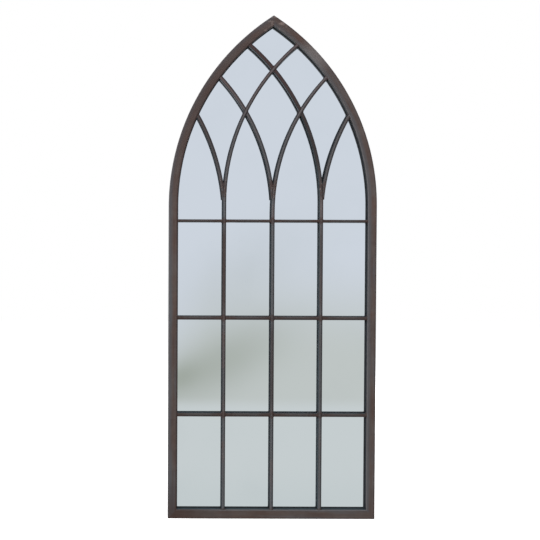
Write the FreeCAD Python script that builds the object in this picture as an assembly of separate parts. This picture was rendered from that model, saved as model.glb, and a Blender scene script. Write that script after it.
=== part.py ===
import FreeCAD, Part
import math
import os

# Arched garden mirror in a welded steel frame, in millimetres.
# It is laid out with X to the right, Y from the front face towards the wall and Z up from the underside of
# the bottom rail. Each piece is then moved so that the origin lies on the wall, midway between the two hooks.

Vector = FreeCAD.Vector

# Outline
overall_width = 619.0
arch_rise = 564.0

# Box section of the frame
frame_face = 26.5
rail_face = 28.0
frame_wall = 1.5
frame_inner_radius = 1.0

# Bars of the grille
bar_width = 11.0
upper_bar_width = 8.0
bar_depth = 10.0
bar_edge_radius = 2.0
pane_height = 278.5
pane_count = 4
row_names = ("lower", "middle", "upper")

# Heights above the rows of panes where the curves begin, and their radii on the bar's centre line
arch_spring_rise = 39.5
long_bend_rise = 49.5
long_bend_radius = 614.0
middle_bend_rise = 20.0
middle_bend_radius = 587.0
short_bend_rise = 1.5
short_bend_radius = 620.0
branch_toe_rise = 58.0

# Glass, board and what holds them
tape_inset = 1.5
tape_thickness = 3.0
glass_thickness = 4.0
glass_edge_gap = 2.0
board_thickness = 5.0
board_edge_gap = 1.0
board_recess = 3.0
block_length = 40.0
block_thickness = 3.0
block_place_share = 0.28

# Offset clips
clip_width = 14.0
clip_thickness = 1.5
clip_foot_length = 18.0
clip_tongue_length = 15.0
clip_web_gap = 0.8
clip_screw_share = 0.58
stile_clip_shares = (0.15, 0.45, 0.78)
rail_clip_shares = (-0.27, 0.27)
arch_clip_shares = (0.30, 0.72)

# Pan-head screws
screw_head_radius = 3.5
screw_head_height = 2.2
screw_head_edge = 0.8
screw_shank_radius = 1.9
screw_length = 9.0
screw_clearance = 0.1
recess_length = 3.8
recess_width = 0.9
recess_depth = 1.2

# Hangers
hanger_drop = 40.0
strap_width = 12.0
strap_thickness = 1.5
strap_screw_gap = 5.25
strap_screw_pitch = 17.0
strap_end_length = 6.0
eye_clearance = 0.05
ring_wire_radius = 1.75
ring_corner_radius = 3.5
ring_side_length = 12.0
ring_side_gap = 1.0
ring_strap_gap = 0.35

# Wall bumpers
bumper_radius = 9.0
bumper_taper = 1.0
bumper_stand_out = 1.1
bumper_place_height = 60.0
bumper_recess_depth = 4.0
bumper_recess_gap = 0.7

# How far cutting shapes run past what they cut
overrun = 5.0

# Places that follow from the sizes
half_width = overall_width / 2
inner_half = half_width - frame_face
bar_half = bar_width / 2
upright_pitch = (2 * inner_half + bar_width) / pane_count
row_pitch = pane_height + bar_width
rows_top = rail_face + len(row_names) * row_pitch
spring_height = rows_top + arch_spring_rise
overall_height = spring_height + arch_rise
arch_radius = (arch_rise ** 2 + half_width ** 2) / (2 * half_width)
arch_centre = arch_radius - half_width
arch_angle = math.degrees(math.acos(arch_centre / (arch_radius - frame_face)))
glass_front = bar_depth + tape_thickness
board_front = glass_front + glass_thickness
board_back = board_front + board_thickness
frame_depth = board_back + board_recess
clip_screw_setback = clip_screw_share * clip_foot_length
side_centre = half_width - frame_face / 2
eye_bore = ring_wire_radius + eye_clearance
eye_radius = eye_bore + strap_thickness
ring_half_width = strap_width / 2 + ring_side_gap + ring_corner_radius
ring_reach = ring_side_length + ring_half_width
ring_axis_height = spring_height - hanger_drop
ring_axis_depth = frame_depth + strap_thickness + ring_strap_gap + ring_wire_radius
upper_screw_drop = ring_reach + ring_wire_radius + strap_screw_gap + screw_head_radius
strap_screw_drops = (upper_screw_drop, upper_screw_drop + strap_screw_pitch)
wall_plane = ring_axis_depth + eye_radius + bumper_stand_out
bumper_height = wall_plane - frame_depth
hook_height = ring_axis_height + ring_reach - ring_wire_radius
frame_outer_radius = frame_inner_radius + frame_wall
hole_radius = screw_shank_radius + screw_clearance

along_y = Vector(0, 1, 0)
along_z = Vector(0, 0, 1)


def save(name, solids):
    group = Part.makeCompound(solids)
    group.translate(Vector(0, -wall_plane, -hook_height))
    group.exportStep("parts/" + name + ".step")


def box(x_low, x_high, y_low, y_high, z_low, z_high):
    return Part.makeBox(x_high - x_low, y_high - y_low, z_high - z_low, Vector(x_low, y_low, z_low))


def rod(x, z, y_low, y_high, radius):
    return Part.makeCylinder(radius, y_high - y_low, Vector(x, y_low, z), along_y)


# Section across a bar or tube, level with the floor
def rounded_section(x_low, x_high, y_low, y_high, level, radius):
    centres = [
        Vector(x_high - radius, y_low + radius, level),
        Vector(x_high - radius, y_high - radius, level),
        Vector(x_low + radius, y_high - radius, level),
        Vector(x_low + radius, y_low + radius, level),
    ]
    corners = [Part.makeCircle(radius, c, along_z, 90 * i - 90, 90 * i) for i, c in enumerate(centres)]
    edges = []
    for corner, following in zip(corners, corners[1:] + corners[:1]):
        edges.append(corner)
        edges.append(Part.makeLine(corner.lastVertex().Point, following.firstVertex().Point))
    return Part.Face(Part.Wire(edges))


# A quarter turn in the plane of the mirror: side 1 bends to the right, side -1 to the left
def bend(section, centre_x, level, side):
    return section.revolve(Vector(centre_x, 0, level), Vector(0, side, 0), 90)


def lay_along_x(shape):
    return shape.rotate(Vector(0, 0, 0), along_y, 90)


# Pointed arch outline in a plane parallel to the mirror, as a slab from one depth to another
def arch_slab(side_inset, bottom, y_low, y_high):
    edge = half_width - side_inset
    radius = arch_radius - side_inset
    tip_angle = math.acos(arch_centre / radius)
    mid_x = radius * math.cos(tip_angle / 2) - arch_centre
    mid_z = spring_height + radius * math.sin(tip_angle / 2)
    tip = Vector(0, y_low, spring_height + radius * math.sin(tip_angle))
    right = [Vector(edge, y_low, bottom), Vector(edge, y_low, spring_height), Vector(mid_x, y_low, mid_z)]
    left = [Vector(-p.x, p.y, p.z) for p in right]
    edges = [
        Part.makeLine(left[0], right[0]),
        Part.makeLine(right[0], right[1]),
        Part.Arc(right[1], right[2], tip).toShape(),
        Part.Arc(tip, left[2], left[1]).toShape(),
        Part.makeLine(left[1], left[0]),
    ]
    return Part.Face(Part.Wire(edges)).extrude(Vector(0, y_high - y_low, 0))


opening = arch_slab(frame_face, rail_face, -overrun, frame_depth + overrun)


# Frame of box section

def hollow_section(x_low, x_high, level):
    outer = rounded_section(x_low, x_high, 0, frame_depth, level, frame_outer_radius)
    inner = rounded_section(
        x_low + frame_wall, x_high - frame_wall, frame_wall, frame_depth - frame_wall, level, frame_inner_radius)
    return outer.cut(inner).Faces[0]


def mitre_block():
    corners = [
        Vector(-half_width, -overrun, 0),
        Vector(half_width, -overrun, 0),
        Vector(inner_half, -overrun, rail_face),
        Vector(-inner_half, -overrun, rail_face),
    ]
    return Part.Face(Part.makePolygon(corners + corners[:1])).extrude(Vector(0, frame_depth + 2 * overrun, 0))


def make_frame():
    rail_tube = lay_along_x(hollow_section(-rail_face, 0, -half_width).extrude(Vector(0, 0, overall_width)))
    tubes = {"bottom_rail": rail_tube.common(mitre_block())}
    for name, side in (("left", 1), ("right", -1)):
        low, high = sorted((-side * half_width, -side * inner_half))
        stile = hollow_section(low, high, 0).extrude(Vector(0, 0, spring_height))
        tubes[name + "_stile"] = stile.cut(mitre_block())
        arch = bend(hollow_section(low, high, spring_height), side * arch_centre, spring_height, side)
        half = sorted((0, -side * overall_width))
        half_space = box(half[0], half[1], -overrun, frame_depth + overrun, 0, overall_height + overrun)
        tubes[name + "_arch"] = arch.common(half_space)
    return tubes


# Bars of the grille: a straight foot and a quarter turn, or the turn alone

def bar_path(x, rise, radius, side, section, straight=True):
    level = rows_top + rise
    turned = bend(section(x, level), x + side * radius, level, side)
    if not straight:
        return turned
    return section(x, rail_face).extrude(Vector(0, 0, level - rail_face)).fuse(turned).removeSplitter()


def flat_section(points, level):
    corners = [Vector(x, y, level) for x, y in points]
    return Part.Face(Part.makePolygon(corners + corners[:1]))


def square_section(x_low, x_high, y_low, y_high, level):
    return flat_section([(x_low, y_low), (x_high, y_low), (x_high, y_high), (x_low, y_high)], level)


def bar_section(x, level):
    return rounded_section(x - bar_half, x + bar_half, 0, bar_depth, level, bar_edge_radius)


def tape_section(x, level):
    tape_half = bar_half - tape_inset
    return square_section(x - tape_half, x + tape_half, bar_depth, glass_front, level)


# The room that a bar takes up, with square edges, for trimming what meets it
def room_section(x, level):
    return square_section(x - bar_half, x + bar_half, -overrun, glass_front + overrun, level)


left_run = (-upright_pitch, long_bend_rise, long_bend_radius, 1)
middle_run = (0, middle_bend_rise, middle_bend_radius, 1)
right_run = (upright_pitch, long_bend_rise, long_bend_radius, -1)
left_branch_run = (-upright_pitch, short_bend_rise, short_bend_radius, -1)
middle_branch_run = (0, middle_bend_rise, middle_bend_radius, -1)
right_branch_run = (upright_pitch, short_bend_rise, short_bend_radius, 1)


def trimmed(shape, rooms):
    shape = shape.common(opening)
    for room in rooms:
        shape = shape.cut(room)
    return sorted(shape.Solids, key=lambda solid: solid.CenterOfMass.z)


def make_bars():
    left_room, middle_room, right_room = [
        bar_path(*run, room_section) for run in (left_run, middle_run, right_run)]
    below_toes = box(-half_width, half_width, -overrun, frame_depth, 0, rows_top + branch_toe_rise)

    def branch(run, rooms):
        return trimmed(bar_path(*run, bar_section, straight=False), rooms + [below_toes])

    bars = {
        "left_upright": trimmed(bar_path(*left_run, bar_section), []),
        "middle_upright": trimmed(bar_path(*middle_run, bar_section), []),
        "left_branch": branch(left_branch_run, [left_room]),
        "right_branch": branch(right_branch_run, [right_room]),
    }
    lower, upper = branch(middle_branch_run, [middle_room, left_room])
    bars["middle_branch_lower"] = [lower]
    bars["middle_branch_upper"] = [upper]
    foot, middle, top = trimmed(bar_path(*right_run, bar_section), [middle_room, left_room])
    bars["right_upright"] = [foot]
    bars["right_arc_middle"] = [middle]
    bars["right_arc_upper"] = [top]

    bars["glazing_tape"] = (
        trimmed(bar_path(*left_run, tape_section), [])
        + trimmed(bar_path(*middle_run, tape_section), [])
        + trimmed(bar_path(*right_run, tape_section), [middle_room])[:1])
    return bars


def make_crossbars():
    bars = {}
    pane_width = upright_pitch - bar_width
    for row, name in enumerate(row_names):
        middle = rail_face + (row + 1) * row_pitch - bar_half
        half = upper_bar_width / 2 if name == "upper" else bar_half
        section = rounded_section(-middle - half, half - middle, 0, bar_depth, 0, bar_edge_radius)
        for pane in range(pane_count):
            start = pane * upright_pitch - inner_half
            piece = section.extrude(Vector(0, 0, pane_width))
            piece.translate(Vector(0, 0, start))
            bars[f"{name}_crossbar_{pane + 1}"] = [lay_along_x(piece)]
    return bars


# Glass, board and the blocks they stand on

def make_glazing():
    blocks = []
    for side in (-1, 1):
        middle = side * block_place_share * 2 * inner_half
        blocks.append(box(
            middle - block_length / 2, middle + block_length / 2,
            glass_front, board_back, rail_face, rail_face + block_thickness))
    lower_edge = rail_face + block_thickness
    glass = arch_slab(frame_face + glass_edge_gap, lower_edge, glass_front, board_front)
    seal = arch_slab(frame_face, rail_face, glass_front, board_front).cut(glass)
    for block in blocks:
        seal = seal.cut(block)
    return {
        "mirror_glass": [glass],
        "edge_seal": seal.Solids,
        "back_board": [arch_slab(frame_face + board_edge_gap, lower_edge, board_front, board_back)],
        "setting_blocks": blocks,
    }


# Pan-head screw whose head sits at a given depth and points to the wall

def make_screw(x, z, seat):
    head = rod(x, z, seat, seat + screw_head_height, screw_head_radius)
    rim = [e for e in head.Edges if e.BoundBox.YMin > seat + screw_head_edge]
    head = head.makeFillet(screw_head_edge, rim)
    screw = head.fuse(rod(x, z, seat - screw_length, seat, screw_shank_radius))
    recess_floor = seat + screw_head_height - recess_depth
    recess_top = seat + screw_head_height + overrun
    long = recess_length / 2
    short = recess_width / 2
    for across, up in ((long, short), (short, long)):
        screw = screw.cut(box(x - across, x + across, recess_floor, recess_top, z - up, z + up))
    return screw.removeSplitter()


def screw_hole(x, z):
    return rod(x, z, frame_depth - frame_wall - overrun, frame_depth + overrun, hole_radius)


# Offset clips: each seat is a point on the frame's inner edge and the turn that points inwards

def clip_seats():
    seats = []
    for side, turn in ((-1, 0), (1, 180)):
        tube = "left" if side < 0 else "right"
        for share in stile_clip_shares:
            height = rail_face + share * (spring_height - rail_face)
            seats.append((tube + "_stile", side * inner_half, height, turn))
        for share in arch_clip_shares:
            angle = share * arch_angle
            reach = arch_radius - frame_face
            x = side * (reach * math.cos(math.radians(angle)) - arch_centre)
            z = spring_height + reach * math.sin(math.radians(angle))
            seats.append((tube + "_arch", x, z, turn - side * angle))
    for share in rail_clip_shares:
        seats.append(("bottom_rail", share * 2 * inner_half, rail_face, -90))
    return seats


def make_clip():
    half = clip_width / 2
    foot_back = frame_depth + clip_thickness
    web_end = clip_web_gap + clip_thickness
    foot = box(-clip_foot_length, web_end, frame_depth, foot_back, -half, half)
    web = box(clip_web_gap, web_end, board_back, foot_back, -half, half)
    tongue = box(clip_web_gap, clip_tongue_length, board_back, board_back + clip_thickness, -half, half)
    return foot.fuse([web, tongue]).removeSplitter().cut(screw_hole(-clip_screw_setback, 0))


def seated(shape, x, z, turn):
    placed = shape.copy()
    placed.rotate(Vector(0, 0, 0), along_y, turn)
    placed.translate(Vector(x, 0, z))
    return placed


def make_clips(tubes):
    clips = []
    screws = []
    for tube, x, z, turn in clip_seats():
        clips.append(seated(make_clip(), x, z, turn))
        screws.append(seated(make_screw(-clip_screw_setback, 0, frame_depth + clip_thickness), x, z, turn))
        tubes[tube] = tubes[tube].cut(seated(screw_hole(-clip_screw_setback, 0), x, z, turn))
    return {"board_clips": clips, "clip_screws": screws}


# Hangers: a strap with an eye on each stile, and a D-shaped ring that hangs in the eye

def make_strap(x):
    half = strap_width / 2
    back = frame_depth + strap_thickness
    low = ring_axis_height - strap_screw_drops[-1] - strap_end_length
    plate = box(x - half, x + half, frame_depth, back, low, ring_axis_height)
    end = rod(x, low, frame_depth, back, half)
    root = box(x - half, x + half, frame_depth, ring_axis_depth, ring_axis_height - eye_radius, ring_axis_height)
    eye_start = Vector(x - half, ring_axis_depth, ring_axis_height)
    eye = Part.makeCylinder(eye_radius, strap_width, eye_start, Vector(1, 0, 0))
    bore = Part.makeCylinder(eye_bore, strap_width, eye_start, Vector(1, 0, 0))
    strap = plate.fuse([end, root, eye]).removeSplitter().cut(bore)
    for drop in strap_screw_drops:
        strap = strap.cut(screw_hole(x, ring_axis_height - drop))
    return strap


def make_ring(x):
    def at(right, down):
        return Vector(x + right, ring_axis_depth, ring_axis_height - down)

    wide = ring_half_width
    corner = ring_corner_radius
    eased = corner * (1 - math.sqrt(0.5))
    side_end = ring_side_length
    path = [
        Part.makeLine(at(0, 0), at(wide - corner, 0)),
        Part.Arc(at(wide - corner, 0), at(wide - eased, eased), at(wide, corner)).toShape(),
        Part.makeLine(at(wide, corner), at(wide, side_end)),
        Part.Arc(at(wide, side_end), at(0, side_end + wide), at(-wide, side_end)).toShape(),
        Part.makeLine(at(-wide, side_end), at(-wide, corner)),
        Part.Arc(at(-wide, corner), at(eased - wide, eased), at(corner - wide, 0)).toShape(),
        Part.makeLine(at(corner - wide, 0), at(0, 0)),
    ]
    wire_end = Part.Wire(Part.makeCircle(ring_wire_radius, at(0, 0), Vector(1, 0, 0)))
    return Part.Wire(path).makePipeShell([wire_end], True, False)


def make_hangers(tubes):
    pieces = {"hanger_screws": []}
    for name, side in (("left", -1), ("right", 1)):
        x = side * side_centre
        pieces[name + "_hanger_strap"] = [make_strap(x)]
        pieces[name + "_hanger_ring"] = [make_ring(x)]
        for drop in strap_screw_drops:
            z = ring_axis_height - drop
            pieces["hanger_screws"].append(make_screw(x, z, frame_depth + strap_thickness))
            tubes[name + "_stile"] = tubes[name + "_stile"].cut(screw_hole(x, z))
    return pieces


# Rubber bumpers with a sunk screw

def make_bumpers(tubes):
    bumpers = []
    screws = []
    seat = wall_plane - bumper_recess_depth
    for name, side in (("left", -1), ("right", 1)):
        x = side * side_centre
        base = Vector(x, frame_depth, bumper_place_height)
        body = Part.makeCone(bumper_radius, bumper_radius - bumper_taper, bumper_height, base, along_y)
        recess = rod(x, bumper_place_height, seat, wall_plane + overrun, screw_head_radius + bumper_recess_gap)
        hole = rod(x, bumper_place_height, frame_depth - overrun, wall_plane, hole_radius)
        bumpers.append(body.cut(recess).cut(hole))
        screws.append(make_screw(x, bumper_place_height, seat))
        tubes[name + "_stile"] = tubes[name + "_stile"].cut(screw_hole(x, bumper_place_height))
    return {"wall_bumpers": bumpers, "bumper_screws": screws}


os.makedirs("parts", exist_ok=True)
frame_tubes = make_frame()
nodes = {}
nodes.update(make_bars())
nodes.update(make_crossbars())
nodes.update(make_glazing())
nodes.update(make_clips(frame_tubes))
nodes.update(make_hangers(frame_tubes))
nodes.update(make_bumpers(frame_tubes))
for tube_name, tube_shape in frame_tubes.items():
    nodes[tube_name] = tube_shape.Solids
for node_name, node_solids in nodes.items():
    save(node_name, node_solids)
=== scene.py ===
import math

import bpy
import numpy as np
from mathutils import Matrix, Vector
from mathutils.bvhtree import BVHTree


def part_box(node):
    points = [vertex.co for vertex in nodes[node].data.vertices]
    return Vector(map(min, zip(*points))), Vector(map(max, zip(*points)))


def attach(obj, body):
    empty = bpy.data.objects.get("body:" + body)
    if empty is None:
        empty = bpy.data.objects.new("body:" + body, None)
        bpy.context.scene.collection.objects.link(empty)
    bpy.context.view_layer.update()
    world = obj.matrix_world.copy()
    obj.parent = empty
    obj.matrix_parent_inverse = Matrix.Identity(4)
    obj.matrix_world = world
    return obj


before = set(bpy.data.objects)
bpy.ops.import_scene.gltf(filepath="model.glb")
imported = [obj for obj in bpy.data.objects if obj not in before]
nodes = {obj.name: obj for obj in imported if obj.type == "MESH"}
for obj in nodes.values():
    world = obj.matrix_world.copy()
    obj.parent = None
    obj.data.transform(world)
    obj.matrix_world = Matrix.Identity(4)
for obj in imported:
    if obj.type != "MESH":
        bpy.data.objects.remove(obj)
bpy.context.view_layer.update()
scene = bpy.context.scene
scene.view_settings.view_transform = "Standard"
mm = 0.001
print("frame loaded,", len(nodes), "pieces")


# Measures of the frame, read from its pieces

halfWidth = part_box("right_stile")[1].x
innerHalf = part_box("right_stile")[0].x
frameFace = halfWidth - innerHalf
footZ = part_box("bottom_rail")[0].z
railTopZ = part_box("bottom_rail")[1].z
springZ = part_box("left_stile")[1].z
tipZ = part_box("left_arch")[1].z
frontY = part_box("bottom_rail")[0].y
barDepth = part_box("middle_crossbar_2")[1].y - frontY
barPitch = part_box("middle_crossbar_3")[0].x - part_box("middle_crossbar_2")[0].x
rowZ = (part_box("middle_crossbar_2")[0].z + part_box("middle_crossbar_2")[1].z) / 2
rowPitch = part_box("middle_crossbar_2")[0].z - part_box("lower_crossbar_2")[0].z
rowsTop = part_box("middle_crossbar_2")[1].z + rowPitch
archRise = tipZ - springZ
archRadius = (archRise ** 2 + halfWidth ** 2) / (2 * halfWidth)
archCentre = archRadius - halfWidth


# Node trees: a value in a tree takes part in plain expressions

def addNode(tree, kind, settings, sockets):
    made = tree.nodes.new(kind)
    for key, value in settings.items():
        setattr(made, key, value)
    for key, value in sockets.items():
        if isinstance(value, bpy.types.NodeSocket):
            tree.links.new(value, made.inputs[key])
        else:
            made.inputs[key].default_value = value
    return made.outputs


class Value:
    def __init__(self, graph, socket):
        self.graph = graph
        self.socket = socket

    def math(self, operation, *others):
        return self.graph.math(operation, self, *others)

    def __add__(self, other):
        return self.math("ADD", other)

    def __radd__(self, other):
        return self.math("ADD", other)

    def __sub__(self, other):
        return self.math("SUBTRACT", other)

    def __rsub__(self, other):
        return self.graph.math("SUBTRACT", other, self)

    def __mul__(self, other):
        return self.math("MULTIPLY", other)

    def __truediv__(self, other):
        return self.math("DIVIDE", other)

    def __pow__(self, other):
        return self.math("POWER", other)

    def __neg__(self):
        return self.math("MULTIPLY", -1.0)

    def __abs__(self):
        return self.math("ABSOLUTE")

    def between(self, low, high):  # 0 at low, 1 at high, eased
        return self.graph.node(
            "ShaderNodeMapRange", {"interpolation_type": "SMOOTHSTEP"},
            {"Value": self, "From Min": low, "From Max": high})

    def fade(self, low, high):  # 1 at low, 0 at high, eased
        return 1.0 - self.between(low, high)


class Graph:
    def __init__(self, owner):
        owner.use_nodes = True
        self.tree = owner.node_tree
        self.tree.nodes.clear()

    def node(self, kind, settings, sockets, output=0):
        plain = {key: value.socket if isinstance(value, Value) else value for key, value in sockets.items()}
        outputs = addNode(self.tree, kind, settings, plain)
        return Value(self, outputs[output]) if outputs else None

    def math(self, operation, *values):
        return self.node("ShaderNodeMath", {"operation": operation}, dict(enumerate(values)))

    def split(self, vector):
        first = self.node("ShaderNodeSeparateXYZ", {}, {0: vector})
        return [Value(self, socket) for socket in first.socket.node.outputs]

    def join(self, x, y, z):
        return self.node("ShaderNodeCombineXYZ", {}, {0: x, 1: y, 2: z})

    def place(self):
        return self.node("ShaderNodeTexCoord", {}, {}, "Object")

    def normal(self):
        return self.split(self.node("ShaderNodeNewGeometry", {}, {}, "Normal"))

    def ray(self, kind):
        return self.node("ShaderNodeLightPath", {}, {}, kind)

    def noise(self, vector, scale, detail=3.0, roughness=0.5):
        return self.node("ShaderNodeTexNoise", {}, {
            "Vector": vector, "Scale": scale, "Detail": detail, "Roughness": roughness})

    def pattern(self, vector, name):
        scale, detail, roughness, low, high = patterns[name]
        return self.noise(vector, scale, detail, roughness).between(low, high)

    def blend(self, factor, first, second):
        return self.node("ShaderNodeMix", {"data_type": "RGBA"}, {0: factor, 6: first, 7: second}, 2)

    def bump(self, height, strength, distance):
        return self.node("ShaderNodeBump", {}, {
            "Height": height, "Strength": strength, "Distance": distance})

    def surface(self, **sockets):
        shader = self.node("ShaderNodeBsdfPrincipled", {}, {
            key.replace("_", " "): value for key, value in sockets.items()})
        self.node("ShaderNodeOutputMaterial", {}, {"Surface": shader})


def distance(across, along):
    return (across ** 2.0 + along ** 2.0).math("SQRT")


def fromNearest(value, first, pitch):  # signed distance from the nearest of evenly spaced lines
    return (value - first + pitch / 2).math("WRAP", pitch, 0.0) - pitch / 2


def tone(red, green, blue):  # a colour as seen on screen, 0 to 255
    def linear(c):
        c = c / 255
        return c / 12.92 if c <= 0.04045 else ((c + 0.055) / 1.055) ** 2.4
    return (linear(red), linear(green), linear(blue), 1.0)


white = (1.0, 1.0, 1.0, 1.0)


def newFinish(name):
    finish = bpy.data.materials.new(name)
    return finish, Graph(finish)


# Weld seams: each bar and what its ends are welded to

weldedTo = {
    "left_upright": ("bottom_rail", "right_arch"),
    "middle_upright": ("bottom_rail", "right_arch"),
    "right_upright": ("bottom_rail", "middle_upright"),
    "right_arc_middle": ("middle_upright", "left_upright"),
    "right_arc_upper": ("left_upright", "left_arch"),
    "left_branch": ("left_upright", "left_arch"),
    "right_branch": ("right_upright", "right_arch"),
    "middle_branch_lower": ("middle_upright", "left_upright"),
    "middle_branch_upper": ("left_upright", "left_arch"),
}
uprightRow = ("left_stile", "left_upright", "middle_upright", "right_upright", "right_stile")
for row in ("lower", "middle", "upper"):
    for pane in range(len(uprightRow) - 1):
        weldedTo[f"{row}_crossbar_{pane + 1}"] = uprightRow[pane:pane + 2]

welds = {
    "touch": 0.4 * mm,       # how near a bar's end lies to what it is welded to
    "edge": 1.4 * mm,        # bare bar at the front and back of a seam
    "pitch": 1.1 * mm,       # from ripple to ripple
    "ripple": 1.25 * mm,     # radius of a ripple
    "flat": 0.75,            # a ripple's thickness along the seam
    "spread": 0.18,          # how much ripples differ in size
    "seed": 7,
    "segments": 8,           # facets round a ripple
    "rings": 5,
}


def surfaceTree(name):
    mesh = nodes[name].data
    return BVHTree.FromPolygons([v.co for v in mesh.vertices], [p.vertices for p in mesh.polygons])


def seamEnds(bar, carrier):  # the two corners, seen from the front, where the bar meets the carrier
    tree = surfaceTree(carrier)
    corners = [v.co for v in nodes[bar].data.vertices]
    touching = [p for p in corners if tree.find_nearest(p, welds["touch"])[0] is not None]
    points = np.array([(p.x, p.z) for p in touching])
    apart = np.linalg.norm(points[:, None] - points[None, :], axis=2)
    first, second = np.unravel_index(apart.argmax(), apart.shape)
    return points[first], points[second]


weldCorners = {bar: [seamEnds(bar, carrier) for carrier in carriers] for bar, carriers in weldedTo.items()}
print("weld seams found on", len(weldCorners), "bars")


# Finishes

patterns = {  # noise: its scale, detail and roughness, and the range that is stretched to 0 and 1
    "broad": (7.0, 4.0, 0.6, 0.35, 0.65),
    "cloud": (38.0, 3.0, 0.55, 0.3, 0.7),
    "streak": (1.0, 4.0, 0.6, 0.32, 0.68),
    "rusty": (11.0, 3.0, 0.55, 0.56, 0.74),
    "rubbed": (0.45, 3.0, 0.5, 0.52, 0.7),
    "scuff": (75.0, 2.0, 0.5, 0.48, 0.66),
    "wash": (16.0, 3.0, 0.55, 0.2, 0.5),
    "brown": (9.0, 3.0, 0.55, 0.5, 0.68),
    "blotch": (90.0, 3.0, 0.6, 0.25, 0.55),
    "spatter": (240.0, 1.0, 0.5, 0.62, 0.7),
    "mottle": (130.0, 4.0, 0.6, 0.3, 0.7),
    "haze": (5.0, 4.0, 0.6, 0.45, 0.75),
}

steel = {
    "brown": tone(68, 49, 42),
    "grey": tone(81, 74, 71),
    "slate": tone(68, 72, 77),
    "rust": tone(78, 47, 34),
    "stain": tone(52, 33, 26),       # darker rust, on the left and at the welds
    "dark": tone(50, 41, 39),
    "shadow": tone(45, 47, 50),      # dark and cooler, on the uprights and the tracery
    # paint worn through in specks; also the painted highlights on lit edges and the painted sheen
    "wornAndHighlight": tone(116, 113, 113),
    "scuffed": tone(126, 112, 108),
    "side": tone(42, 48, 53),        # painted shade and reflection on the inner sides of the stiles and arches
    "ledge": tone(48, 61, 66),       # painted shade and reflection on the top sides of the rail and the crossbars
    "sideBelow": tone(58, 68, 73),   # painted reflected light on the sides of the tracery that look down
    "under": tone(44, 27, 25),       # painted shade on edges of the frame turned away from the light
    "underBar": tone(30, 20, 19),    # the same painted shade on the bars
    "deep": tone(38, 30, 28),        # darker tone on the crossbars and tracery
    "reddish": tone(62, 36, 34),     # bars near the tip
    "specks": (420.0, 3.0, 0.6),     # noise of the finest grain
    "wornSpecks": (0.66, 0.8),       # where a speck is worn through
    "squareEdge": (0.02, 0.25),      # how far a face turns to the front before its painted side shade ends
    "roundEdge": (0.30, 0.98),
    "inward": (0.1, 0.4),            # how far a face turns inward before it is an inner side
    "sideCover": 0.9,
    "roughness": 0.40,
    "cloudy": 0.16,                  # how much the roughness differs from place to place
    "dusty": 0.45,                   # roughness that dust adds to the sides
    "dustless": (0.25, 0.6),         # how far a side looks down before the dust is off it
    "dustlessBy": 1.35,
    "sheen": 0.35,                   # strength of the dull reflection
    "grain": 0.2 * mm,               # height of the brushed-on paint's grain
    "grainStrength": 0.15,
}
coats = {"dark": 0.25, "rust": 0.4, "slate": 0.45, "wornAndHighlight": 0.1}  # strength of each over the brown and grey


def steelTones(graph, place, streaks):
    cloud = graph.pattern(place, "cloud")
    speck = graph.noise(place, *steel["specks"])
    greyer = graph.pattern(place, "broad") * 0.5 + graph.pattern(streaks, "streak") * 0.5
    colour = graph.blend(greyer, steel["brown"], steel["grey"])
    cover = {
        "dark": cloud, "rust": graph.pattern(place, "rusty"), "slate": graph.pattern(streaks, "rubbed"),
        "wornAndHighlight": speck.between(*steel["wornSpecks"])}
    for paint, strength in coats.items():
        colour = graph.blend(cover[paint] * strength, colour, steel[paint])
    return colour, cloud, speck


paintedEdgeLight = {  # painted sheen, highlight and shade along the frame's edges, by the distance from the edge
    "fullBand": 0.3,                 # part of the painted sheen band's width where it doesn't fade yet
    "band": 0.6,
    # painted highlight along the lit edge
    "litLine": (1.0 * mm, 4.0 * mm),
    "lit": 0.35,
    # painted shade along the edge turned away from the light
    "darkLine": (0.8 * mm, 5.5 * mm),
    "dark": 0.85,
}


def edges(graph, colour, toLit, toDark, band):  # painted sheen and highlight by the lit edge and painted shade by the dark edge, by the distances from them
    colour = graph.blend(toLit.fade(paintedEdgeLight["fullBand"] * band, band) * paintedEdgeLight["band"], colour, steel["slate"])
    colour = graph.blend(toLit.fade(*paintedEdgeLight["litLine"]) * paintedEdgeLight["lit"], colour, steel["wornAndHighlight"])
    return graph.blend(toDark.fade(*paintedEdgeLight["darkLine"]) * paintedEdgeLight["dark"], colour, steel["under"])


def finishSteel(graph, colour, cloud, speck, side, facing, edge):  # facing: 1 on sides with the side tone, which is painted light and shade
    y, z = graph.normal()[1:]
    sideways = abs(y).fade(*edge) * facing
    colour = graph.blend(sideways * steel["sideCover"], colour, side)
    dusty = sideways * (1.0 - (-z).between(*steel["dustless"]) * steel["dustlessBy"])
    rough = steel["roughness"] + (cloud - 0.5) * steel["cloudy"] + dusty * steel["dusty"]
    shade = graph.bump(speck * 0.4 + cloud * 0.6, steel["grainStrength"], steel["grain"])
    graph.surface(Base_Color=colour, Roughness=rough, Specular_IOR_Level=steel["sheen"], Normal=shade)


frameMarks = {
    "streaks": (150.0, 60.0, 9.0),     # fineness across, through and along the tube
    "apart": 9.0,                      # sets the streaks of the left side apart from the right's
    "band": 14 * mm,                   # painted sheen, grey toward the light
    "tipSeam": (-1 * mm, 1 * mm),      # where the left arch meets the right one
    "head": (0.0, 400 * mm),           # above the springing, where the colour is darkened
    "headDark": 0.2,
    "headDarkLeft": 0.25,              # added on the left
    "shoulder": (-80 * mm, 120 * mm),  # above the springing, where the left side turns brown
    "shoulderBrown": 0.3,
    "gleamAt": (117 * mm, -123 * mm),  # place of a painted sheen on the right arch, from the tip
    "gleamReach": (10 * mm, 70 * mm),
    "gleam": 0.35,
    "scuffReach": (25 * mm, 85 * mm),  # from the tip
    "scuffs": 0.5,
    "footReach": (10 * mm, 140 * mm),  # above the foot, where the left side is rusty
    "footRust": 0.5,
}


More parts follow.
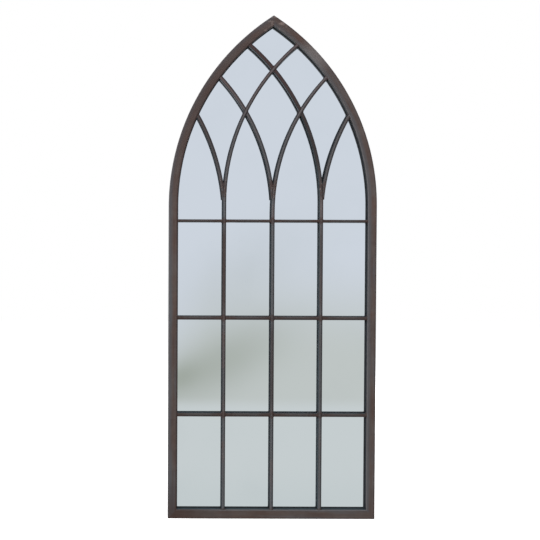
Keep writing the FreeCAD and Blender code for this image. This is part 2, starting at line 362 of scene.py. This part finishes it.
def frameSteel():  # stiles and arches: streaks run along the tube
    finish, graph = newFinish("frame_steel")
    place = graph.place()
    x, y, z = graph.split(place)
    hand = x.math("SIGN")
    aboveSpring = z - springZ
    across = archRadius - distance(abs(x) + archCentre, aboveSpring.math("MAXIMUM", 0.0))
    fineness = frameMarks["streaks"]
    streaks = graph.join(across * fineness[0] + hand * frameMarks["apart"], y * fineness[1], z * fineness[2])
    colour, cloud, speck = steelTones(graph, place, streaks)
    toRight = across * hand + x.fade(*frameMarks["tipSeam"]) * frameFace
    # painted sheen and highlight on the edge toward the light, painted shade on the other
    colour = edges(graph, colour, frameFace - toRight, toRight, frameMarks["band"])
    leftSide = x.fade(-halfWidth, innerHalf)
    head = aboveSpring.between(*frameMarks["head"])
    darker = head * (frameMarks["headDark"] + leftSide * frameMarks["headDarkLeft"])
    colour = graph.blend(darker, colour, steel["dark"])
    shoulder = aboveSpring.between(*frameMarks["shoulder"]) * leftSide
    colour = graph.blend(shoulder * frameMarks["shoulderBrown"], colour, steel["stain"])
    # painted sheen on the right arch
    gleamX, gleamZ = frameMarks["gleamAt"]
    gleam = distance(x - gleamX, z - tipZ - gleamZ).fade(*frameMarks["gleamReach"])
    colour = graph.blend(gleam * frameMarks["gleam"], colour, steel["wornAndHighlight"])
    scuff = graph.pattern(place, "scuff") * distance(x, z - tipZ).fade(*frameMarks["scuffReach"])
    colour = graph.blend(scuff * frameMarks["scuffs"], colour, steel["scuffed"])
    footing = (z - footZ).fade(*frameMarks["footReach"]) * leftSide
    colour = graph.blend(footing * frameMarks["footRust"], colour, steel["stain"])
    inward = (-(graph.normal()[0] * hand)).between(*steel["inward"])
    finishSteel(graph, colour, cloud, speck, steel["side"], inward, steel["squareEdge"])
    return finish


railMarks = {
    "streaks": (9.0, 60.0, 150.0),     # fineness along, through and up the rail
    "band": 5 * mm,
    "rustyEnd": 190 * mm,              # length of the rustier left end
    "rust": 0.6,
}


def railSteel():
    finish, graph = newFinish("rail_steel")
    place = graph.place()
    x, y, z = graph.split(place)
    fineness = railMarks["streaks"]
    streaks = graph.join(x * fineness[0], y * fineness[1], z * fineness[2])
    colour, cloud, speck = steelTones(graph, place, streaks)
    # painted sheen and highlight along the rail's top edge, painted shade along its foot
    colour = edges(graph, colour, railTopZ - z, z - footZ, railMarks["band"])
    leftEnd = x.fade(-innerHalf, -innerHalf + railMarks["rustyEnd"])
    colour = graph.blend(leftEnd * railMarks["rust"], colour, steel["stain"])
    inward = graph.normal()[2].between(*steel["inward"])
    finishSteel(graph, colour, cloud, speck, steel["ledge"], inward, steel["squareEdge"])
    return finish


# Bars that share one line. Its shape: the middle, where it starts to bend above the rows, the radius, and
# the side it bends to. Its colour: how dark the bend is, how bright the painted highlight line is there and
# how far from the middle it lies, and the tone of the sides, painted light and shade. Darker panes: rows
# from the middle crossbar, strength, tone
dullPane = (-0.5, 0.25, "deep")
runs = {
    "left_run": {
        "bars": ["left_upright"],
        "middle": -barPitch, "rise": 49.5 * mm, "radius": 614 * mm, "side": 1.0,
        "dim": 0.48, "lit": 0.29, "lineAt": 1.2 * mm, "flank": tone(30, 34, 38),
        "panes": [(0.5, 0.75, "stain"), dullPane]},
    "middle_run": {
        "bars": ["middle_upright"],
        "middle": 0.0, "rise": 20 * mm, "radius": 587 * mm, "side": 1.0,
        "dim": 0.45, "lit": 0.32, "lineAt": 0.0, "flank": tone(42, 47, 51),
        "panes": [(-0.5, 0.5, "stain"), dullPane]},
    "right_run": {
        "bars": ["right_upright", "right_arc_middle", "right_arc_upper"],
        "middle": barPitch, "rise": 49.5 * mm, "radius": 614 * mm, "side": -1.0,
        "dim": 0.95, "lit": 0.03, "lineAt": 0.0, "flank": tone(86, 98, 103),
        "panes": [(0.5, 0.5, "stain"), dullPane]},
    "left_branch_run": {
        "bars": ["left_branch"],
        "middle": -barPitch, "rise": 1.5 * mm, "radius": 620 * mm, "side": -1.0,
        "dim": 0.8, "lit": 0.15, "lineAt": 0.0, "flank": tone(30, 34, 38), "panes": []},
    "middle_branch_run": {
        "bars": ["middle_branch_lower", "middle_branch_upper"],
        "middle": 0.0, "rise": 20 * mm, "radius": 587 * mm, "side": -1.0,
        "dim": 0.42, "lit": 0.25, "lineAt": 0.0, "flank": tone(30, 34, 38), "panes": []},
    "right_branch_run": {
        "bars": ["right_branch"],
        "middle": barPitch, "rise": 1.5 * mm, "radius": 620 * mm, "side": 1.0,
        "dim": 0.6, "lit": 0.29, "lineAt": 0.0, "flank": tone(36, 40, 44), "panes": []},
}
barMarks = {
    "streaks": (40.0, 40.0, 12.0),
    "slateRun": 0.95,                  # how grey the uprights and the tracery are
    "slateCrossbar": 0.25,
    "rust": 0.45,
    "shade": 0.45,                     # between the brown places
    "cloudShade": 0.15,
    "paneReach": (0.30, 0.55),         # from a pane's middle, in rows
    "bend": (20 * mm, 200 * mm),       # above the rows, where the bend's tones set in
    "dimCrossbar": 0.6,
    "tip": (180 * mm, 430 * mm),       # above the springing, where the bars turn reddish
    "tipRed": 0.45,
    "lineFrom": (-4.5 * mm, -2.2 * mm),  # edges of the painted highlight line, from the bar's middle
    "lineTo": (-1.4 * mm, 1.4 * mm),
    "lit": 0.34,                       # brightness of the painted highlight line below the bend
    "upperHalf": (-1.6 * mm, 1.6 * mm),  # painted highlight on a crossbar's upper half
    "litCrossbar": 0.16,
    # painted shade along the bars' right and lower edges
    "darkEdge": (1.2 * mm, 4.4 * mm),
    "dark": 0.92,
    "patchRun": (5 * mm, 15 * mm),     # brown round the crossings
    "patchCrossbar": (10 * mm, 55 * mm),
    "patchEnd": 20 * mm,               # below the springing, where the crossings' brown ends
    "jointAt": 88 * mm,                # above the rows, where the branches are welded on
    "jointHigh": (12 * mm, 45 * mm),
    "jointWide": (10 * mm, 22 * mm),
    "stain": 0.7,
    "spatter": 0.7,                    # light spots from welding
    "flankTurn": (-0.6, 0.6),          # painted light and shade on the sides, from sides that look down to sides that look up
    "ledgeTurn": (-0.3, 0.3),
}


def offLine(x, z, run):  # distance from the bar's middle, to the right or below
    if not run:
        return -fromNearest(z, rowZ, rowPitch)
    rise = (z - rowsTop - run["rise"]).math("MAXIMUM", 0.0)
    centre = run["middle"] + run["side"] * run["radius"]
    return (run["radius"] - distance(x - centre, rise)) * run["side"]


def weldMarks(graph, colour, place, reach):  # brown patches at the crossings and the branch joints
    x, z = graph.split(place)[0::2]
    toUpright = fromNearest(x, 0.0, barPitch)
    patch = distance(toUpright, fromNearest(z, rowZ, rowPitch)).fade(*reach)
    patch = patch * z.fade(springZ - barMarks["patchEnd"], springZ)
    joint = abs(z - rowsTop - barMarks["jointAt"]).fade(*barMarks["jointHigh"])
    joint = joint * abs(toUpright).fade(*barMarks["jointWide"])
    blotch = graph.pattern(place, "blotch")
    colour = graph.blend((patch + joint) * blotch * barMarks["stain"], colour, steel["stain"])
    spots = graph.pattern(place, "spatter") * joint
    return graph.blend(spots * barMarks["spatter"], colour, steel["scuffed"])


def barSteel(name, run=None):  # bars: a painted highlight on one edge and painted shade on the other; without a run, the crossbars
    finish, graph = newFinish(name)
    place = graph.place()
    x, y, z = graph.split(place)
    kind = "Run" if run else "Crossbar"
    fineness = barMarks["streaks"]
    streaks = graph.join(x * fineness[0], y * fineness[1], z * fineness[2])
    colour, cloud, speck = steelTones(graph, place, streaks)
    colour = graph.blend(graph.pattern(place, "wash") * barMarks["slate" + kind], colour, steel["slate"])
    brown = graph.pattern(place, "brown")
    colour = graph.blend(brown * barMarks["rust"], colour, steel["rust"])
    shade = (1.0 - brown) * barMarks["shade"] + cloud * barMarks["cloudShade"]
    colour = graph.blend(shade, colour, steel["shadow" if run else "dark"])
    off = offLine(x, z, run)
    red = (z - springZ).between(*barMarks["tip"]) * barMarks["tipRed"]
    up = graph.normal()[2]
    if run:
        along = off - run["lineAt"]
        lit = along.between(*barMarks["lineFrom"]) * along.fade(*barMarks["lineTo"])
        inner, outer = (part * rowPitch for part in barMarks["paneReach"])
        for pane, strength, paint in run["panes"]:  # the painted highlight line is fainter there too
            darker = abs(z - rowZ - pane * rowPitch).fade(inner, outer) * strength
            colour = graph.blend(darker, colour, steel[paint])
            lit = lit * (1.0 - darker)
        aloft = (z - rowsTop).between(*barMarks["bend"])
        dim = aloft * run["dim"]
        lit = lit * (barMarks["lit"] + aloft * (run["lit"] - barMarks["lit"]))
        # sides: painted light and shade by the way they face
        side = graph.blend(up.between(*barMarks["flankTurn"]), steel["sideBelow"], run["flank"])
    else:
        dim = barMarks["dimCrossbar"]
        lit = off.fade(*barMarks["upperHalf"]) * barMarks["litCrossbar"]
        # sides: painted shade and reflection by the way they face
        side = graph.blend(up.between(*barMarks["ledgeTurn"]), steel["underBar"], steel["ledge"])
    colour = graph.blend(dim, colour, steel["deep"])
    colour = graph.blend(red, colour, steel["reddish"])
    # painted highlight line
    colour = graph.blend(lit, colour, steel["wornAndHighlight"])
    # painted shade along the right or lower edge
    colour = graph.blend(off.between(*barMarks["darkEdge"]) * barMarks["dark"], colour, steel["underBar"])
    colour = weldMarks(graph, colour, place, barMarks["patch" + kind])
    finishSteel(graph, colour, cloud, speck, side, 1.0, steel["roundEdge"])
    return finish


weldPaint = {"roughness": 0.45, "mottled": 0.15, "grain": 700.0, "bump": 0.3}


def weldSteel():
    finish, graph = newFinish("weld_steel")
    place = graph.place()
    mottle = graph.pattern(place, "mottle")
    colour = graph.blend(mottle, steel["dark"], steel["rust"])
    rough = weldPaint["roughness"] + mottle * weldPaint["mottled"]
    shade = graph.bump(graph.noise(place, weldPaint["grain"]), weldPaint["bump"], steel["grain"])
    graph.surface(Base_Color=colour, Roughness=rough, Normal=shade)
    return finish


mirror = {
    "silver": (0.90, 0.925, 0.93, 1.0),
    "hazed": (0.86, 0.89, 0.895, 1.0),
    "haze": 0.5,
    "roughness": 0.008,
    "hazeRoughness": 0.012,
    "waves": (2.5, 1.0),               # the sheet is not quite flat
    "wave": (0.02, 0.05 * mm),
}


def mirrorSilver():
    finish, graph = newFinish("mirror_silver")
    place = graph.place()
    haze = graph.pattern(place, "haze")
    colour = graph.blend(haze * mirror["haze"], mirror["silver"], mirror["hazed"])
    rough = mirror["roughness"] + haze * mirror["hazeRoughness"]
    wave = graph.bump(graph.noise(place, *mirror["waves"]), *mirror["wave"])
    graph.surface(Base_Color=colour, Metallic=1.0, Roughness=rough, Normal=wave)
    return finish


board = {
    "tones": (tone(38, 35, 33), tone(74, 68, 62)),
    "fibreLength": 0.25,               # squeezes the noise upright, which draws the fibres out
    "fibres": (260.0, 4.0, 0.7),
    "clouds": (9.0, 4.0, 0.6),
    "spread": (0.3, 0.7),
    "roughness": (0.62, 0.15),
    "bump": (0.3, 0.2 * mm),
}


def boardBlack():
    finish, graph = newFinish("board_black")
    place = graph.place()
    x, y, z = graph.split(place)
    fibre = graph.noise(graph.join(x, y, z * board["fibreLength"]), *board["fibres"])
    cloud = graph.noise(place, *board["clouds"])
    colour = graph.blend(fibre * 0.5 + cloud.between(*board["spread"]) * 0.5, *board["tones"])
    base, more = board["roughness"]
    shade = graph.bump(fibre, *board["bump"])
    graph.surface(Base_Color=colour, Roughness=base + cloud * more, Normal=shade)
    return finish


rubber = {
    "clouds": (60.0, 4.0, 0.6),        # noise of the dust on it
    "spread": (0.45, 0.8),
    "tones": (tone(30, 30, 31), tone(52, 51, 50)),
    "metal": 0.0,
    "roughness": (0.7, 0.15),
    "grain": (900.0, 2.0, 0.5),
    "bump": (0.25, 0.15 * mm),
}
zinc = {
    "clouds": (70.0, 4.0, 0.6),
    "spread": (0.35, 0.7),
    "tones": (tone(198, 200, 200), tone(172, 176, 174)),
    "metal": 1.0,
    "roughness": (0.26, 0.14),
    "grain": (600.0, 2.0, 0.6),
    "bump": (0.12, 0.1 * mm),
}


def plainFinish(name, look):
    finish, graph = newFinish(name)
    place = graph.place()
    cloud = graph.noise(place, *look["clouds"])
    colour = graph.blend(cloud.between(*look["spread"]), *look["tones"])
    base, more = look["roughness"]
    shade = graph.bump(graph.noise(place, *look["grain"]), *look["bump"])
    graph.surface(Base_Color=colour, Metallic=look["metal"], Roughness=base + cloud * more, Normal=shade)
    return finish


def dress(finish, names):
    for name in names:
        nodes[name].data.materials.clear()
        nodes[name].data.materials.append(finish)


weldFinish = weldSteel()
dress(frameSteel(), ["left_stile", "right_stile", "left_arch", "right_arch"])
dress(railSteel(), ["bottom_rail"])
for name, run in runs.items():
    dress(barSteel(name + "_steel", run), run["bars"])
dress(barSteel("crossbar_steel"), [name for name in weldedTo if "crossbar" in name])
dress(mirrorSilver(), ["mirror_glass"])
dress(boardBlack(), ["back_board"])
dress(plainFinish("rubber_black", rubber), ["glazing_tape", "edge_seal", "setting_blocks", "wall_bumpers"])
dress(plainFinish("zinc_steel", zinc), [
    "board_clips", "clip_screws", "left_hanger_strap", "right_hanger_strap", "left_hanger_ring",
    "right_hanger_ring", "hanger_screws", "bumper_screws"])
print("finishes done")


# Weld beads: a row of ripples along each seam, from the front of the bar to its back

def beadTree():
    tree = bpy.data.node_groups.new("weldBeads", "GeometryNodeTree")
    tree.interface.new_socket("Seams", in_out="INPUT", socket_type="NodeSocketGeometry")
    sizes = {}
    for name, kind in (("Pitch", "Float"), ("Ripple", "Float"), ("Flat", "Float"), ("Spread", "Float"),
                       ("Seed", "Int"), ("Finish", "Material")):
        socket = tree.interface.new_socket(name, in_out="INPUT", socket_type="NodeSocket" + kind)
        sizes[name] = socket.identifier
    tree.interface.new_socket("Beads", in_out="OUTPUT", socket_type="NodeSocketGeometry")

    def node(kind, settings, sockets):
        return addNode(tree, kind, settings, sockets)

    given = node("NodeGroupInput", {}, {})
    curve = node("GeometryNodeMeshToCurve", {}, {"Mesh": given["Seams"]})[0]
    curve = node("GeometryNodeResampleCurve", {"mode": "LENGTH"}, {
        "Curve": curve, "Length": given["Pitch"]})[0]
    along = node("GeometryNodeInputTangent", {}, {})[0]
    turn = node("FunctionNodeAlignRotationToVector", {"axis": "Z"}, {"Vector": along})[0]
    ball = node("GeometryNodeMeshUVSphere", {}, {
        "Segments": welds["segments"], "Rings": welds["rings"], "Radius": given["Ripple"]})[0]
    shape = node("ShaderNodeCombineXYZ", {}, {"X": 1.0, "Y": 1.0, "Z": given["Flat"]})[0]
    ball = node("GeometryNodeTransform", {}, {"Geometry": ball, "Scale": shape})[0]
    least = node("ShaderNodeMath", {"operation": "SUBTRACT"}, {0: 1.0, 1: given["Spread"]})[0]
    most = node("ShaderNodeMath", {"operation": "ADD"}, {0: 1.0, 1: given["Spread"]})[0]
    size = node("FunctionNodeRandomValue", {"data_type": "FLOAT"}, {
        2: least, 3: most, "Seed": given["Seed"]})[1]
    beads = node("GeometryNodeInstanceOnPoints", {}, {
        "Points": curve, "Instance": ball, "Rotation": turn, "Scale": size})[0]
    beads = node("GeometryNodeRealizeInstances", {}, {"Geometry": beads})[0]
    beads = node("GeometryNodeSetShadeSmooth", {}, {0: beads})[0]
    beads = node("GeometryNodeSetMaterial", {}, {"Geometry": beads, "Material": given["Finish"]})[0]
    node("NodeGroupOutput", {}, {"Beads": beads})
    return tree, sizes


def addWelds():
    corners = [corner for pairs in weldCorners.values() for pair in pairs for corner in pair]
    start = frontY + welds["edge"]
    end = frontY + barDepth - welds["edge"]
    points = [(x, y, z) for x, z in corners for y in (start, end)]
    mesh = bpy.data.meshes.new("weld_seams")
    mesh.from_pydata(points, [(i, i + 1) for i in range(0, len(points), 2)], [])
    seams = bpy.data.objects.new("weld_seams", mesh)
    scene.collection.objects.link(seams)
    tree, sizes = beadTree()
    modifier = seams.modifiers.new("beads", "NODES")
    modifier.node_group = tree
    for name in ("Pitch", "Ripple", "Flat", "Spread", "Seed"):
        modifier[sizes[name]] = welds[name.lower()]
    modifier[sizes["Finish"]] = weldFinish
    bpy.context.view_layer.update()
    beadMesh = bpy.data.meshes.new_from_object(seams.evaluated_get(bpy.context.evaluated_depsgraph_get()))
    bpy.data.objects.remove(seams)
    beads = bpy.data.objects.new("weld_beads", beadMesh)
    beads.data.materials.clear()
    beads.data.materials.append(weldFinish)
    scene.collection.objects.link(beads)
    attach(beads, "mirror")
    print("weld beads done,", len(corners), "seams,", len(beadMesh.polygons), "faces")


addWelds()


# Floor, light and surroundings

studio = {
    "floorDrop": 0.10,       # the mirror hangs, so the floor lies below it
    "floorSize": 14.0,
    "floorTone": (0.86, 0.86, 0.86, 1.0),
    "floorGlow": 0.7,        # makes the floor white in the picture and keeps the shadow on it
    "roomLight": 0.35,       # soft light from all round
}


def addFloor():
    half = studio["floorSize"] / 2
    level = footZ - studio["floorDrop"]
    corners = [(x * half, y * half, level) for x, y in ((-1, -1), (1, -1), (1, 1), (-1, 1))]
    mesh = bpy.data.meshes.new("floor")
    mesh.from_pydata(corners, [], [(0, 1, 2, 3)])
    floor = bpy.data.objects.new("floor", mesh)
    scene.collection.objects.link(floor)
    finish, graph = newFinish("floor_pale")
    matt = graph.node("ShaderNodeBsdfDiffuse", {}, {"Color": studio["floorTone"]})
    glow = graph.node("ShaderNodeEmission", {}, {"Color": white, "Strength": studio["floorGlow"]})
    pale = graph.node("ShaderNodeAddShader", {}, {0: matt, 1: glow})
    shown = graph.node("ShaderNodeMixShader", {}, {0: graph.ray("Is Camera Ray"), 1: matt, 2: pale})
    graph.node("ShaderNodeOutputMaterial", {}, {"Surface": shown})
    mesh.materials.append(finish)
    floor.visible_glossy = False


lamps = {
    "key": {"place": (-1.1, -2.7, 1.9), "size": 1.6, "power": 100.0},
    "fill": {"place": (1.9, -2.6, 0.5), "size": 2.2, "power": 18.0},
    "back": {"place": (1.0, 2.7, 1.3), "size": 1.8, "power": 60.0},
}


def addLamp(name, place, size, power):
    lamp = bpy.data.lights.new(name, "AREA")
    lamp.shape = "DISK"
    lamp.size = size
    lamp.energy = power
    holder = bpy.data.objects.new(name, lamp)
    holder.location = place
    aim = Vector((0, frontY, (footZ + tipZ) / 2)) - Vector(place)
    holder.rotation_euler = aim.to_track_quat("-Z", "Y").to_euler()
    holder.visible_glossy = False
    scene.collection.objects.link(holder)


room = {  # what shiny surfaces see around them: tones by slope up or down and to the right
    "upper": tone(204, 212, 222),
    "wall": tone(190, 197, 196),
    "shade": tone(156, 164, 156),
    "ground": tone(197, 205, 207),
    "near": tone(193, 202, 204),
    "wallFrom": (-0.028, 0.165),     # slopes down over which a tone sets in
    "groundFrom": (0.226, 0.252),
    "nearFrom": (0.335, 0.425),
    "lower": ((0.17, 0.2), (0.10, 0.8)),  # to the left of the first, the wall starts lower by the second
    "slant": (0.88, 0.47),           # way in which the patches are drawn out
    "patches": (                     # place to the right and up, length, breadth and strength
        (0.046, -0.196, 0.042, 0.025, 0.5),
        (0.120, -0.170, 0.115, 0.047, 0.62),
        (0.150, -0.020, 0.130, 0.055, 0.17)),
    "front": (0.2, -0.2),            # the patches and the glow are on the mirror's front side only
    "leastAhead": 0.05,              # keeps the slopes small straight to the side
    "glowAt": (-0.62, 0.42),         # a soft light, to the left and up
    "glowSize": 0.33,
    "glow": 0.55,
}


def addRoom():
    world = bpy.data.worlds.new("studio")
    scene.world = world
    graph = Graph(world)
    x, y, z = graph.split(graph.node("ShaderNodeTexCoord", {}, {}, "Generated"))
    ahead = abs(y).math("MAXIMUM", room["leastAhead"])
    right = x / ahead
    up = z / ahead

    def bell(across, along):
        return (-(across ** 2.0 + along ** 2.0)).math("EXPONENT")

    def patch(atRight, atUp, length, breadth):
        along = (right - atRight) * room["slant"][0] + (up - atUp) * room["slant"][1]
        off = (up - atUp) * room["slant"][0] - (right - atRight) * room["slant"][1]
        return bell(along / length, off / breadth)

    lower = sum((start - right).math("MAXIMUM", 0.0) * slope for start, slope in room["lower"])
    colour = graph.blend((-up - lower).between(*room["wallFrom"]), room["upper"], room["wall"])
    front = y.between(*room["front"])
    dim = sum(patch(*shape) * strength for *shape, strength in room["patches"]) * front
    colour = graph.blend(dim.math("MINIMUM", 1.0), colour, room["shade"])
    colour = graph.blend((-up).between(*room["groundFrom"]), colour, room["ground"])
    colour = graph.blend((-up).between(*room["nearFrom"]), colour, room["near"])
    bright = graph.node(
        "ShaderNodeMix", {"data_type": "RGBA", "blend_type": "DIVIDE"},
        {0: 1.0, 6: colour, 7: mirror["silver"]}, 2)
    glowX, glowZ = room["glowAt"]
    glow = bell((x - glowX) / room["glowSize"], (z - glowZ) / room["glowSize"]) * front
    shiny = graph.node("ShaderNodeBackground", {}, {"Color": bright, "Strength": 1.0 + glow * room["glow"]})
    soft = graph.node("ShaderNodeBackground", {}, {"Color": white, "Strength": studio["roomLight"]})
    bare = graph.node("ShaderNodeBackground", {}, {"Color": white, "Strength": 1.0})
    around = graph.node("ShaderNodeMixShader", {}, {0: graph.ray("Is Glossy Ray"), 1: soft, 2: shiny})
    around = graph.node("ShaderNodeMixShader", {}, {0: graph.ray("Is Camera Ray"), 1: around, 2: bare})
    graph.node("ShaderNodeOutputWorld", {}, {"Surface": around})


addFloor()
for name, lamp in lamps.items():
    addLamp(name, **lamp)
addRoom()
print("studio done")


# Camera: square to the mirror, a little to its left, with the lens shifted to keep the mirror in the middle

view = {
    "pixels": 540.0,         # the picture's side
    "focal": 587.97,         # in pixels
    "middleX": 150.0,        # pixel column on the lens's axis
    "right": -364.97 * mm,   # from the mirror's middle line
    "distance": 1749.43 * mm,
    "height": 764.46 * mm,   # above the mirror's foot
    "pitch": 0.01188,        # radians, downward
    "roll": 0.00342,
    "sensor": 36.0,
    "nearest": 0.01,
}


def addCamera():
    lens = bpy.data.cameras.new("camera")
    lens.sensor_width = view["sensor"]
    lens.lens = view["focal"] / view["pixels"] * view["sensor"]
    lens.shift_x = 0.5 - view["middleX"] / view["pixels"]
    lens.clip_start = view["nearest"]
    camera = bpy.data.objects.new("camera", lens)
    place = Matrix.Translation((view["right"], frontY - view["distance"], footZ + view["height"]))
    tilt = Matrix.Rotation(math.pi / 2 - view["pitch"], 4, "X") @ Matrix.Rotation(view["roll"], 4, "Z")
    camera.matrix_world = place @ tilt
    scene.collection.objects.link(camera)
    scene.camera = camera


addCamera()
print("camera done")
